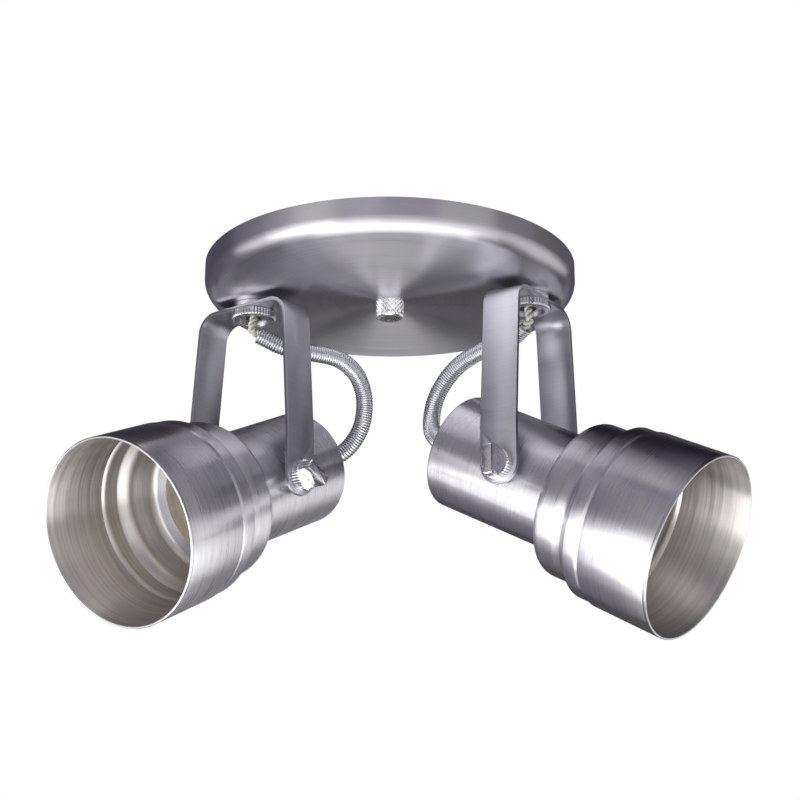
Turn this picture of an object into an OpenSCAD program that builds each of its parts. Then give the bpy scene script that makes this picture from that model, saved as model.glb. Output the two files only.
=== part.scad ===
// Two-head ceiling spotlight of brushed metal, hanging from a round canopy.
// Z is up and the ceiling is the plane z = 0. Each head hangs in a U-shaped yoke that
// swivels on a hollow threaded nipple and is clamped by two keyed thumb screws.

/* [Canopy] */
// Diameter of the canopy
canopy_d = 150; // [140:1:170]
// Height of the canopy below the ceiling
canopy_h = 12.5; // [12:0.5:18]
// Sheet thickness of the canopy
canopy_wall = 1; // [0.8:0.1:1.5]
// Outer radius of the canopy's rounded edge
canopy_edge_r = 6; // [3:0.5:8]
// Distance from the canopy's edge to the axis of each nipple
nipple_inset = 19; // [17:0.5:24]

/* [Centre nut] */
// Diameter of the knurled centre nut
cap_nut_d = 11.6; // [10:0.1:16]
// Height of the centre nut
cap_nut_h = 7.8; // [6:0.1:12]
// Thread diameter of the centre stud
stud_d = 5; // [4:0.5:6]

/* [Mounting bar] */
// Length of the mounting bar
bar_l = 112; // [104:1:120]
// Width of the mounting bar
bar_w = 20; // [16:1:24]
// Thickness of the mounting bar
bar_t = 2; // [1.5:0.1:2.5]
// Distance between the middles of the two slots
slot_spacing = 80; // [70:1:84]
// Width of a slot
slot_w = 4.6; // [4:0.1:5.5]
// Length of a slot from end to end
slot_l = 16; // [10:1:18]

/* [Terminal block] */
// Length of the terminal block along its wires
block_l = 15; // [12:0.5:18]
// Clearance between the terminal block and the canopy
block_gap = 1.5; // [1:0.1:2.5]
// Distance of the terminal block's middle from the canopy's middle
block_y = 27; // [24:0.5:29]

/* [Hanger] */
// Thread diameter of the hollow nipple
nipple_d = 9.9; // [8:0.1:12]
// Bore of the hollow nipple
nipple_bore = 6.6; // [5:0.1:7]
// Thickness of the collar between canopy and yoke
spacer_t = 1.7; // [1:0.1:4]
// Diameter of that collar
spacer_d = 16.8; // [14:0.2:18]
// Diameter of the knurled ring nut
ring_nut_d = 18; // [16:0.2:20]
// Height of the ring nut
ring_nut_h = 3.5; // [3:0.1:5]

/* [Yoke] */
// Width of the yoke's strip
strip_w = 15.5; // [13:0.5:16]
// Thickness of the yoke's strip
strip_t = 1.5; // [1.2:0.1:2]
// Gap between the neck and each arm at the pivots
arm_gap = 2.6; // [1.5:0.1:4]
// Lean of each arm towards the web
arm_lean = 3.7; // [0:0.1:5]
// Outer radius of the yoke's bends
yoke_bend_r = 4.5; // [3:0.5:6]
// Drop from the underside of the yoke's web to the pivots
pivot_drop = 73; // [66:1:80]

/* [Pose] */
// Swivel of the left head outwards from straight ahead
left_swivel = 30.7; // [0:0.1:60]
// Swivel of the right head outwards from straight ahead
right_swivel = 64.6; // [0:0.1:70]
// Tilt of the left head below the horizontal
left_tilt = 24.6; // [0:0.1:45]
// Tilt of the right head below the horizontal
right_tilt = 27.2; // [0:0.1:45]
// Rise of the left inner thumb screw's key towards the front
left_inner_key = 27; // [-90:1:90]
// Rise of the left outer key towards the front
left_outer_key = 70; // [-90:1:90]
// Rise of the right inner key towards the front
right_inner_key = 90; // [-90:1:90]
// Rise of the right outer key towards the front
right_outer_key = 15; // [-90:1:90]

/* [Head] */
// Clearance between the inner bracket's corners and the neck
neck_gap = 0.43; // [0.2:0.01:1]
// Space between the inner bracket and the neck's back
neck_rear_space = 5.5; // [4.5:0.1:9]
// Sheet thickness of the neck
neck_wall = 1; // [0.8:0.1:1.2]
// Distance from the pivots to the back of the shade
shade_back = 22; // [20:0.5:24]
// Distance from the pivots to the rim of the shade
shade_front = 76.5; // [70:0.5:90]
// Reach of the shade's rear step beyond the neck
rear_reach = 7.9; // [6:0.1:10]
// Rise from the rear step to the middle step
mid_rise = 3.4; // [2:0.1:5]
// Rise from the middle step to the main part
main_rise = 0.7; // [0.5:0.1:2]
// Flare of the main part towards the rim
flare = 0.7; // [0:0.1:3]
// Sheet thickness of the shade
shade_wall = 1; // [0.8:0.1:1.2]

/* [Thumb screws] */
// Diameter of the knurled collar
collar_d = 12.2; // [10:0.1:14]
// Thickness of the knurled collar
collar_t = 3.5; // [2.5:0.1:5]
// Length of the flat key beyond the collar
key_l = 5.7; // [4:0.1:8]
// Thickness of the flat key
key_t = 4; // [3:0.1:5]
// Thread diameter of the thumb screw
screw_d = 4.9; // [4:0.1:5]

/* [Lampholder] */
// Width across the inside of the screw shell
shell_d = 27; // [26.4:0.1:27.4]
// Radial clearance of the plain mouth round a lamp cap
mouth_gap = 0.9; // [0.5:0.1:1.5]
// Wall of the porcelain body round the mouth
holder_wall = 3.6; // [2.5:0.1:4]
// Depth of the socket
socket_depth = 24; // [22:0.5:26]
// Thickness of the porcelain behind the socket
holder_base = 12; // [11:0.5:14]

/* [Conduit] */
// Outer diameter of the flexible conduit
conduit_d = 7.2; // [6.4:0.1:7.4]
// Bore of the flexible conduit
conduit_bore = 5.2; // [4.4:0.1:5.6]
// Ribs on each conduit
conduit_ribs = 100; // [40:10:100]
// Diameter of the sleeved lead
lead_d = 3.4; // [2.4:0.1:3.6]

/* [Hidden] */

$fn = 96;
// Overrun of every cut
over = 1;
// Radial clearance of a thread or plug in its hole
fit_gap = 0.05;
// Radial clearance of a plain hole round a screw
hole_gap = 0.3;
// Steps along an arc of an outline
arc_steps = 8;

// Sizes of the canopy's small pieces
stud_hole_r = stud_d / 2 + fit_gap;
cap_bore_l = 5.6;
cap_dome_r = 2.2;
cap_knurls = 30;
stud_nut_af = 8;
stud_nut_h = 3.4;
washer_t = 0.8;
washer_d = 17;
washer_teeth = 12;
washer_tooth_w = 1.6;
washer_tooth_l = 2;
lock_nut_af = 14;
lock_nut_h = 3;
nipple_proud = 1.4;
nut_knurls = 44;
nut_knurl_depth = 0.35;
knurl_blunt = 0.1;
nut_edge_r = 1.4;
nut_mouth_r = 6.4;
nut_mouth_depth = 1.2;
hex_share = 1 / sqrt(3);

// Sizes of the terminal block
insert_d = 4.6;
insert_bore = 3.8;
insert_l = 13;
port_z_share = 0.52;
clamp_d = 3;
clamp_recess = 0.4;
clamp_x_share = 0.26;
block_screw_d = 2.9;
block_head_d = 4.4;
pole_gap = 0.6;
block_wall = 1.4;
block_head_h = 1.8;
earth_d = 3.9;
earth_head_d = 8;
earth_head_h = 2.2;
earth_y = 22;

// Sizes of the neck and its inner pieces
neck_corner_r = 1.6;
flange_reach = 3.4;
collar_gap = 0.1;
bush_d = 9;
bush_hole_gap = 0.2;
bush_spigot_d = 7;
bracket_t = 1.2;
bracket_w = 14;
bracket_gap = 1.2;
bracket_bend_r = 2.6;
bracket_ear = 7;
bracket_hole_d = 12;
holder_front = 9;
holder_rear_wall = 2.6;
holder_rear_share = 0.5;
socket_mouth_l = 5;
shell_t = 0.4;
shell_turns = 5;
shell_pitch = 3.6;
shell_wave = 0.55;
shell_base_r = 8;
wave_steps = 8;
contact_w = 6;
contact_l = 11;
contact_t = 0.5;
contact_rise = 2.4;
holder_screw_d = 3;
holder_screw_l = 8;
holder_screw_y = 10;
holder_head_d = 5.4;
holder_head_h = 1.8;
lead_hole_d = 9;
lead_hole_l = 5;

// Sizes of the rear bush
conduit_gap = 0.3;
bush_wall = 1.3;
bush_flange_reach = 1.8;
bush_flange_t = 1.5;
bush_lip_reach = 1;
bush_lip_t = 1.1;
conduit_in = 1.6;

// Sizes of the thumb screws
collar_knurls = 34;
collar_knurl_depth = 0.35;
collar_edge = 0.6;
screw_in = 6.4;

// Sizes of the shade's outline
shoulder_r = 4;
step_rise_l = 4.4;
rear_step_l = 13.6;
mid_step_l = 6;
groove_depth = 0.5;
main_lip_l = 1.4;
rim_line_back = 1.4;
rim_line_w = 0.5;
rim_line_depth = 0.15;

// Sizes of the conduit's wall
rib_depth = 0.4;
tube_sides = 8;
bore_rings = 24;
gap_steps = 40;

// Sizes of the head that follow from the lamp cap outwards
socket_mouth_d = shell_d + 2 * mouth_gap;
shell_out_r = shell_d / 2 + shell_t + hole_gap;
holder_d = socket_mouth_d + 2 * holder_wall;
holder_rear_d = 2 * (shell_out_r + holder_rear_wall);
holder_l = socket_depth + holder_base;
holder_back = holder_l - holder_front;
bracket_s = -holder_back - bracket_t;
bracket_half_w = holder_d / 2 + bracket_gap + bracket_t;
neck_d = 2 * (norm([bracket_half_w, bracket_w / 2]) + neck_gap + neck_wall);
neck_back = neck_wall + neck_rear_space - bracket_s;
shade_rear_d = neck_d + 2 * rear_reach;
shade_mid_d = shade_rear_d + 2 * mid_rise;
shade_main_d = shade_mid_d + 2 * main_rise;
shade_d = shade_main_d + 2 * flare;
yoke_pivot_w = neck_d + 2 * (arm_gap + strip_t);
yoke_top_w = yoke_pivot_w - 2 * arm_lean;
bush_waist_r = conduit_d / 2 + conduit_gap + bush_wall;
bush_flange_r = bush_waist_r + bush_flange_reach;
bush_lip_r = bush_waist_r + bush_lip_reach;

// Levels and places that follow from the sizes above
nipple_spacing = canopy_d - 2 * nipple_inset;
block_h = canopy_h - canopy_wall - bar_t - block_gap;
pole_pitch = insert_d + block_head_d + pole_gap;
block_w = pole_pitch + insert_d + 2 * block_wall;
face_z = -canopy_h;
web_z = face_z - spacer_t;
web_low_z = web_z - strip_t;
nut_low_z = web_low_z - ring_nut_h;
pivot_z = web_low_z - pivot_drop;
floor_z = face_z + canopy_wall;
nipple_top_z = floor_z + washer_t + lock_nut_h + nipple_proud;
nipple_low_z = nut_low_z + nut_mouth_depth;
lead_joint_z = nipple_top_z - nipple_proud;
yoke_in = yoke_pivot_w / 2 - strip_t;
conduit_s = conduit_in - neck_back;
pole_ys = [block_y - pole_pitch / 2, block_y + pole_pitch / 2];
port_z = -bar_t - block_h * port_z_share;

// Headings of the two heads, from the x axis
left_heading = -90 - left_swivel;
right_heading = -90 + right_swivel;

// Routes of the conduits, each from its yoke's nipple axis to the pivot's level,
// as steps from that axis and from the underside of the web
left_route = [
    [-1, 1, -9], [-7, 6, -12.5], [-19, 14, -14.5], [-31, 18, -14.5], [-41, 18.5, -16.5],
    [-48, 18, -21], [-51.5, 17.5, -30], [-50.5, 15.5, -41.5], [-46, 9.5, -51]
];
right_route = [
    [-1, 0, -9], [-7.5, 2, -12], [-17.5, 4.5, -13], [-27, 7, -14], [-37, 9, -17],
    [-44, 10, -22], [-49, 10, -29.5], [-50.5, 9, -38], [-47.5, 5.5, -46.5]
];

// Heights of the leads in the canopy, where each starts in its port, and three places on
// its way as shares of the nipple's x and the port's y
lead_high_z = -3.4;
lead_mid_z = -5;
lead_start_share = 0.5;
lead_drop = 1.2;
lead_way_shares = [[0.45, 0.8], [0.78, 0.36], [0.94, 0.05]];
// Steps of the lead between the nipple and the conduit's mouth
lead_turn = [0.7, -0.4, -6];
lead_mouth = [0.6, -0.2, -8];
lead_rings = 14;
canopy_lead_rings = 10;

// Points of an arc about c, from angle a0 to angle a1
function arc(c, r, a0, a1, n = arc_steps) =
    [for (i = [0:n]) c + r * [cos(a0 + (a1 - a0) * i / n), sin(a0 + (a1 - a0) * i / n)]];
function unit(v) = v / norm(v);
function reversed(list) = [for (i = [len(list) - 1:-1:0]) list[i]];
function last(list) = list[len(list) - 1];
// Normal of an open outline at its point i, on the left of its run
function edge_normal(p, i) =
    let (a = p[max(i - 1, 0)], b = p[min(i + 1, len(p) - 1)], d = unit(b - a)) [-d[1], d[0]];
// The same outline moved to its left by t
function inset(p, t) = [for (i = [0:len(p) - 1]) p[i] + t * edge_normal(p, i)];

// A smooth route through the given points, straight along its first and last steps
function route_tangent(p, i) =
    i <= 1 ? unit(p[1] - p[0])
    : i >= len(p) - 2 ? unit(last(p) - p[len(p) - 2])
    : unit(p[i + 1] - p[i - 1]);
function route_step(p, i, t) =
    let (h = norm(p[i + 1] - p[i]), a = h * route_tangent(p, i), b = h * route_tangent(p, i + 1))
    (2 * t ^ 3 - 3 * t ^ 2 + 1) * p[i] + (t ^ 3 - 2 * t ^ 2 + t) * a
    + (3 * t ^ 2 - 2 * t ^ 3) * p[i + 1] + (t ^ 3 - t ^ 2) * b;
function chords(p) =
    [for (i = 0, s = 0; i < len(p); s = s + (i + 1 < len(p) ? norm(p[i + 1] - p[i]) : 0), i = i + 1) s];
function chord_at(s, d) = max([for (i = [0:len(s) - 2]) if (s[i] <= d) i]);
function route_at(p, s, d) =
    let (i = chord_at(s, d)) route_step(p, i, min((d - s[i]) / (s[i + 1] - s[i]), 1));
// n + 1 points spaced evenly along the route
function along(p, n) =
    let (s = chords(p)) [for (k = [0:n]) route_at(p, s, last(s) * k / n)];
// A ring of points round place c, square to direction d
function ring(c, d, r) =
    let (u = unit(cross([0, 1, 0], d)), v = cross(unit(d), u))
    [for (k = [0:tube_sides - 1])
        c + r * (cos(360 * k / tube_sides) * u + sin(360 * k / tube_sides) * v)];
function run_of(p, i) = p[min(i + 1, len(p) - 1)] - p[max(i - 1, 0)];
function band(a, b, n, out) =
    [for (k = [0:n - 1]) let (m = (k + 1) % n)
        each out ? [[a + k, b + k, b + m], [a + k, b + m, a + m]]
                 : [[a + k, b + m, b + k], [a + k, a + m, b + m]]];
// Least distance between two stretches of a route that lie apart, less the tube itself
function least_gap(p, d) =
    min([for (i = [0:len(p) - 1]) for (j = [i + 6:1:len(p) - 1]) norm(p[i] - p[j])]) - d;

// A place on the head's axis, in the yoke's own frame
function head_point(tilt, s) = [s * cos(tilt), 0, pivot_z - s * sin(tilt)];
// The route of a conduit down to the back of its head, in the yoke's own frame
function full_route(steps, tilt) = concat(
    [for (q = steps) q + [0, 0, web_low_z]],
    [head_point(tilt, -neck_back - conduit_d), head_point(tilt, conduit_s)]
);
// The route of a lead from the terminal block into its nipple
function canopy_route(side, pole) =
    let (x = side * nipple_spacing / 2, y = pole_ys[pole], start = side * block_l / 2)
    [
        [start * lead_start_share, y, port_z],
        [start + side * lead_d, y, port_z],
        [x * lead_way_shares[0][0], y * lead_way_shares[0][1], lead_mid_z],
        for (i = [1, 2]) [x * lead_way_shares[i][0], y * lead_way_shares[i][1], lead_high_z],
        [x, 0, nipple_top_z + lead_drop]
    ];

// A plain tube along a route
module tube(points, d) {
    n = tube_sides;
    far = n * (len(points) - 1);
    polyhedron(
        [for (i = [0:len(points) - 1]) each ring(points[i], run_of(points, i), d / 2)],
        concat(
            [for (i = [0:len(points) - 2]) each band(i * n, (i + 1) * n, n, true)],
            [for (k = [1:n - 2]) [0, k, k + 1]],
            [for (k = [1:n - 2]) [far, far + k + 1, far + k]]
        )
    );
}

// A ribbed tube with its bore along a route
module ribbed_tube(route) {
    n = tube_sides;
    outer = along(route, 2 * conduit_ribs);
    inner = along(route, bore_rings);
    outer_rings = [for (i = [0:len(outer) - 1])
        each ring(outer[i], run_of(outer, i), conduit_d / 2 - (i % 2) * rib_depth)];
    inner_rings = [for (i = [0:len(inner) - 1])
        each ring(inner[i], run_of(inner, i), conduit_bore / 2)];
    first_in = n * len(outer);
    last_out = n * (len(outer) - 1);
    last_in = first_in + n * (len(inner) - 1);
    polyhedron(
        concat(outer_rings, inner_rings),
        concat(
            [for (i = [0:len(outer) - 2]) each band(i * n, (i + 1) * n, n, true)],
            [for (i = [0:len(inner) - 2])
                each band(first_in + i * n, first_in + (i + 1) * n, n, false)],
            band(0, first_in, n, false),
            band(last_out, last_in, n, true)
        )
    );
}

// A round piece from its outline of radius and height
module turned(points) rotate_extrude() polygon(points);
// A plain ring
module collar(outer_d, hole_d, h) {
    difference() {
        cylinder(h = h, d = outer_d);
        translate([0, 0, -over]) cylinder(h = h + 2 * over, d = hole_d);
    }
}
// A hexagon nut
module hex_nut(across, hole_d, h) {
    difference() {
        cylinder(h = h, r = across * hex_share, $fn = 6);
        translate([0, 0, -over]) cylinder(h = h + 2 * over, d = hole_d);
    }
}
// A turned piece with straight knurls all round, their tips cut blunt by its outline
module knurled(points, d, h, teeth, depth) {
    intersection() {
        turned(points);
        translate([0, 0, -over]) linear_extrude(h + 2 * over) polygon([for (k = [0:2 * teeth - 1])
            (d / 2 + (k % 2 == 0 ? knurl_blunt : -depth))
            * [cos(180 * k / teeth), sin(180 * k / teeth)]]);
    }
}
// Turns a piece's z axis along the head, the near way out or the far way out
module along_head() rotate([0, 90, 0]) children();
module along_pivot(side) rotate([-90 * side, 0, 0]) children();

// The two hangers, yokes and heads stand in these frames
module at_left() translate([-nipple_spacing / 2, 0, 0]) rotate([0, 0, left_heading]) children();
module at_right() translate([nipple_spacing / 2, 0, 0]) rotate([0, 0, right_heading]) children();
module in_head(tilt) translate([0, 0, pivot_z]) rotate([0, tilt, 0]) children();

// Canopy: a shallow pan with a rounded edge and three holes
module canopy() {
    r = canopy_d / 2;
    e = canopy_edge_r;
    color([0.62, 0.61, 0.65]) difference() {
        turned(concat(
            [[r, 0]],
            reversed(arc([r - e, face_z + e], e, -90, 0)),
            [[stud_hole_r + hole_gap, face_z], [stud_hole_r + hole_gap, floor_z]],
            arc([r - e, face_z + e], e - canopy_wall, -90, 0),
            [[r - canopy_wall, 0]]
        ));
        for (side = [-1, 1]) translate([side * nipple_spacing / 2, 0, face_z - over])
            cylinder(h = canopy_wall + 2 * over, r = nipple_d / 2 + hole_gap);
    }
}

// Mounting bar: a flat bar with two long slots for the ceiling box's screws
module mounting_bar() {
    color([0.75, 0.75, 0.76]) translate([0, 0, -bar_t]) difference() {
        translate([-bar_w / 2, -bar_l / 2, 0]) cube([bar_w, bar_l, bar_t]);
        translate([0, 0, -over]) {
            cylinder(h = bar_t + 2 * over, r = stud_hole_r);
            for (side = [-1, 1]) translate([0, side * slot_spacing / 2, 0]) {
                straight = slot_l - slot_w;
                translate([-slot_w / 2, -straight / 2, 0])
                    cube([slot_w, straight, bar_t + 2 * over]);
                for (end = [-1, 1]) translate([0, end * straight / 2, 0])
                    cylinder(h = bar_t + 2 * over, d = slot_w);
            }
            translate([0, -earth_y, 0])
                cylinder(h = bar_t + 2 * over, r = earth_d / 2 + fit_gap);
            translate([0, block_y, 0])
                cylinder(h = bar_t + 2 * over, r = block_screw_d / 2 + fit_gap);
        }
    }
}

// Centre stud, its lock nut under the bar, and the knurled cap nut
module centre_stud() {
    low = face_z - cap_bore_l + fit_gap;
    color([0.75, 0.75, 0.76]) translate([0, 0, low]) cylinder(h = -low, d = stud_d);
}
module stud_nut() {
    color([0.78, 0.76, 0.7]) translate([0, 0, -bar_t - stud_nut_h])
        hex_nut(stud_nut_af, stud_hole_r * 2, stud_nut_h);
}
module centre_cap_nut() {
    r = cap_nut_d / 2;
    color([0.83, 0.83, 0.84]) translate([0, 0, face_z - cap_nut_h]) difference() {
        knurled(concat(
            [[0, 0]], arc([r - cap_dome_r, cap_dome_r], cap_dome_r, -90, 0),
            [[r, cap_nut_h], [0, cap_nut_h]]
        ), cap_nut_d, cap_nut_h, cap_knurls, nut_knurl_depth);
        translate([0, 0, cap_nut_h - cap_bore_l]) cylinder(h = cap_bore_l + over, r = stud_hole_r);
    }
}

// Terminal block under the bar, with its inserts and screws
module at_ports() {
    for (y = pole_ys) translate([0, y, port_z]) rotate([0, 90, 0]) children();
}
module at_clamps(z) {
    for (y = pole_ys) for (side = [-1, 1])
        translate([side * block_l * clamp_x_share, y, z]) children();
}
module terminal_block() {
    low = -bar_t - block_h;
    color([0.93, 0.92, 0.88]) difference() {
        translate([-block_l / 2, block_y - block_w / 2, low]) cube([block_l, block_w, block_h]);
        at_ports() cylinder(h = block_l + 2 * over, r = insert_d / 2 + fit_gap, center = true);
        at_clamps(low - over) cylinder(h = port_z - low + over, r = clamp_d / 2 + fit_gap);
        translate([0, block_y, low - over]) {
            cylinder(h = block_h + 2 * over, r = block_screw_d / 2 + fit_gap);
            cylinder(h = block_head_h + over, r = block_head_d / 2 + fit_gap);
        }
    }
}
module terminal_inserts() {
    color([0.78, 0.66, 0.36]) at_ports() difference() {
        cylinder(h = insert_l, d = insert_d, center = true);
        cylinder(h = insert_l + 2 * over, d = insert_bore, center = true);
    }
}
module terminal_screws() {
    low = clamp_recess - bar_t - block_h;
    color([0.75, 0.75, 0.76]) at_clamps(low) cylinder(h = port_z - insert_d / 2 - low, d = clamp_d);
}
module block_screw() {
    color([0.75, 0.75, 0.76]) translate([0, block_y, -bar_t - block_h]) {
        cylinder(h = block_head_h, d = block_head_d);
        cylinder(h = block_h + bar_t, d = block_screw_d);
    }
}
module earth_screw() {
    color([0.6, 0.7, 0.5]) translate([0, -earth_y, -bar_t - earth_head_h]) {
        cylinder(h = earth_head_h, d = earth_head_d);
        cylinder(h = earth_head_h + bar_t, d = earth_d);
    }
}
module canopy_lead(side, pole) {
    joint = [side * nipple_spacing / 2, 0, lead_joint_z];
    color([0.88, 0.86, 0.74])
        tube(concat(along(canopy_route(side, pole), canopy_lead_rings), [joint]), lead_d);
}

// Hanger: hollow nipple, lock nut and toothed washer inside, spacer and ring nut outside
module nipple() {
    color([0.8, 0.72, 0.45]) translate([0, 0, nipple_low_z])
        collar(nipple_d, nipple_bore, nipple_top_z - nipple_low_z);
}
module lock_nut() {
    color([0.8, 0.72, 0.45]) translate([0, 0, floor_z + washer_t])
        hex_nut(lock_nut_af, nipple_d + 2 * fit_gap, lock_nut_h);
}
module tooth_washer() {
    color([0.75, 0.75, 0.76]) translate([0, 0, floor_z]) difference() {
        collar(washer_d, nipple_d + 2 * hole_gap, washer_t);
        for (k = [0:washer_teeth - 1]) rotate([0, 0, 360 * k / washer_teeth])
            translate([washer_d / 2 - washer_tooth_l, -washer_tooth_w / 2, -over])
                cube([washer_tooth_l + over, washer_tooth_w, washer_t + 2 * over]);
    }
}
module spacer() {
    color([0.7, 0.69, 0.72]) translate([0, 0, web_z])
        collar(spacer_d, nipple_d + 2 * hole_gap, spacer_t);
}
module ring_nut() {
    r = ring_nut_d / 2;
    e = nut_edge_r;
    color([0.83, 0.83, 0.84]) translate([0, 0, nut_low_z]) difference() {
        knurled(
            concat([[0, 0]], arc([r - e, e], e, -90, 0), [[r, ring_nut_h], [0, ring_nut_h]]),
            ring_nut_d, ring_nut_h, nut_knurls, nut_knurl_depth
        );
        translate([0, 0, -over]) {
            cylinder(h = ring_nut_h + 2 * over, r = nipple_d / 2 + fit_gap);
            cylinder(h = nut_mouth_depth + over, r = nut_mouth_r);
        }
    }
}

// Yoke: flat strip bent to a U, with slightly splayed arms and round ends
module yoke() {
    p = yoke_pivot_w / 2;
    q = yoke_top_w / 2;
    r = yoke_bend_r;
    low = pivot_z - strip_w / 2;
    knee = pivot_z + strip_w;
    c = [q - r, web_z - r];
    outline = concat(
        [[p, low], [p, knee]], arc(c, r, 0, 90), arc([-c[0], c[1]], r, 90, 180),
        [[-p, knee], [-p, low], [strip_t - p, low], [strip_t - p, knee]],
        arc([-c[0], c[1]], r - strip_t, 180, 90), arc(c, r - strip_t, 90, 0),
        [[p - strip_t, knee], [p - strip_t, low]]
    );
    color([0.6, 0.6, 0.64]) difference() {
        intersection() {
            rotate([90, 0, 90]) linear_extrude(strip_w, center = true) polygon(outline);
            rotate([90, 0, 0]) linear_extrude(yoke_pivot_w + 2 * over, center = true) {
                translate([0, pivot_z]) circle(d = strip_w);
                translate([-strip_w / 2, pivot_z]) square([strip_w, web_z + over - pivot_z]);
            }
        }
        translate([0, 0, web_low_z - over])
            cylinder(h = strip_t + 2 * over, r = nipple_d / 2 + hole_gap);
        translate([0, 0, pivot_z]) rotate([90, 0, 0])
            cylinder(h = yoke_pivot_w + 2 * over, r = screw_d / 2 + hole_gap, center = true);
    }
}
module conduit(steps, tilt) {
    color([0.75, 0.75, 0.78]) ribbed_tube(full_route(steps, tilt));
}
module conduit_lead(steps, tilt) {
    top = [
        [0, 0, lead_joint_z], [0, 0, nipple_low_z],
        lead_turn + [0, 0, web_low_z], lead_mouth + [0, 0, web_low_z]
    ];
    color([0.88, 0.86, 0.74])
        tube(concat(top, along(full_route(steps, tilt), lead_rings)), lead_d);
}

// Neck: a cup with a closed back, flanged over inside the shade
module neck() {
    r = neck_d / 2;
    w = neck_wall;
    c = neck_corner_r;
    hole = bush_waist_r + fit_gap;
    s = shade_back + shade_wall;
    color([0.66, 0.66, 0.7]) difference() {
        along_head() turned(concat(
            [[hole, -neck_back]], arc([r - c, c - neck_back], c, -90, 0),
            [[r, s], [r + flange_reach, s], [r + flange_reach, s + w], [r - w, s + w]],
            reversed(arc([r - c, c - neck_back], c - w, -90, 0)), [[hole, w - neck_back]]
        ));
        rotate([90, 0, 0])
            cylinder(h = neck_d + 2 * over, r = bush_d / 2 + bush_hole_gap, center = true);
    }
}

// Shade: thin spun shell with two rounded steps and a turned rim
function s_curve(r0, r1, s, l) =
    [for (i = [1:arc_steps]) [r0 + (r1 - r0) * (1 - cos(180 * i / arc_steps)) / 2, s + l * i / arc_steps]];
function shade_line() =
    let (
        r1 = shade_rear_d / 2, r2 = shade_mid_d / 2, r3 = shade_main_d / 2, g = groove_depth,
        sh = shoulder_r, s1 = shade_back + rear_step_l, s2 = s1 + step_rise_l + mid_step_l
    )
    concat(
        [[neck_d / 2 + collar_gap, shade_back]],
        arc([r1 - sh, shade_back + sh], sh, -90, 0),
        [[r1, s1 - step_rise_l]], s_curve(r1, r1 - g, s1 - step_rise_l, step_rise_l),
        s_curve(r1 - g, r2, s1, step_rise_l),
        [[r2, s2 - main_lip_l]], s_curve(r2, r2 - g, s2 - main_lip_l, main_lip_l),
        s_curve(r2 - g, r3, s2, main_lip_l)
    );
module shade() {
    rim = [shade_d / 2, shade_front];
    line = shade_line();
    start = last(line);
    slope = (rim[0] - start[0]) / (rim[1] - start[1]);
    w = rim_line_w / 2;
    cut = [for (q = [[-w, 0], [0, rim_line_depth], [w, 0]])
        [rim[0] - (rim_line_back - q[0]) * slope - q[1], rim[1] - rim_line_back + q[0]]];
    color([0.68, 0.68, 0.72]) along_head()
        turned(concat(line, cut, [rim], reversed(inset(concat(line, [rim]), shade_wall))));
}

// Rear bush: grommet in the neck's back that takes the conduit's end
module rear_bush() {
    bore = conduit_d / 2 + conduit_gap;
    back = -neck_back;
    front = neck_wall - neck_back;
    color([0.2, 0.2, 0.21]) along_head() turned([
        [bore, back - bush_flange_t], [bush_flange_r, back - bush_flange_t], [bush_flange_r, back],
        [bush_waist_r, back], [bush_waist_r, front], [bush_lip_r, front],
        [bush_lip_r, front + bush_lip_t], [bore, front + bush_lip_t]
    ]);
}

// Bracket: U of strip inside the neck that carries the lampholder between its ears
module holder_bracket() {
    h = bracket_half_w;
    r = bracket_bend_r;
    t = bracket_t;
    outline = concat(
        [[bracket_ear, h]], arc([bracket_s + r, h - r], r, 90, 180),
        arc([bracket_s + r, r - h], r, 180, 270), [[bracket_ear, -h], [bracket_ear, t - h]],
        arc([bracket_s + r, r - h], r - t, 270, 180), arc([bracket_s + r, h - r], r - t, 180, 90),
        [[bracket_ear, h - t]]
    );
    color([0.75, 0.75, 0.76]) difference() {
        intersection() {
            linear_extrude(bracket_w, center = true) polygon(outline);
            rotate([90, 0, 0]) linear_extrude(2 * h + 2 * over, center = true) {
                circle(d = bracket_w);
                translate([bracket_s - over, -bracket_w / 2]) square([over - bracket_s, bracket_w]);
            }
        }
        rotate([90, 0, 0])
            cylinder(h = 2 * h + 2 * over, r = bush_spigot_d / 2 + fit_gap, center = true);
        translate([bracket_s - over, 0, 0]) along_head() {
            cylinder(h = t + 2 * over, d = bracket_hole_d);
            for (side = [-1, 1]) translate([0, side * holder_screw_y, 0])
                cylinder(h = t + 2 * over, r = holder_screw_d / 2 + fit_gap);
        }
    }
}
module pivot_bushes() {
    inner = bracket_half_w - bracket_t;
    color([0.72, 0.71, 0.7]) for (side = [-1, 1]) along_pivot(side) difference() {
        union() {
            translate([0, 0, bracket_half_w]) cylinder(h = yoke_in - bracket_half_w, d = bush_d);
            translate([0, 0, inner]) cylinder(h = bracket_t + fit_gap, d = bush_spigot_d);
        }
        translate([0, 0, inner - over])
            cylinder(h = yoke_in - inner + 2 * over, r = screw_d / 2 + fit_gap);
    }
}

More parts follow.
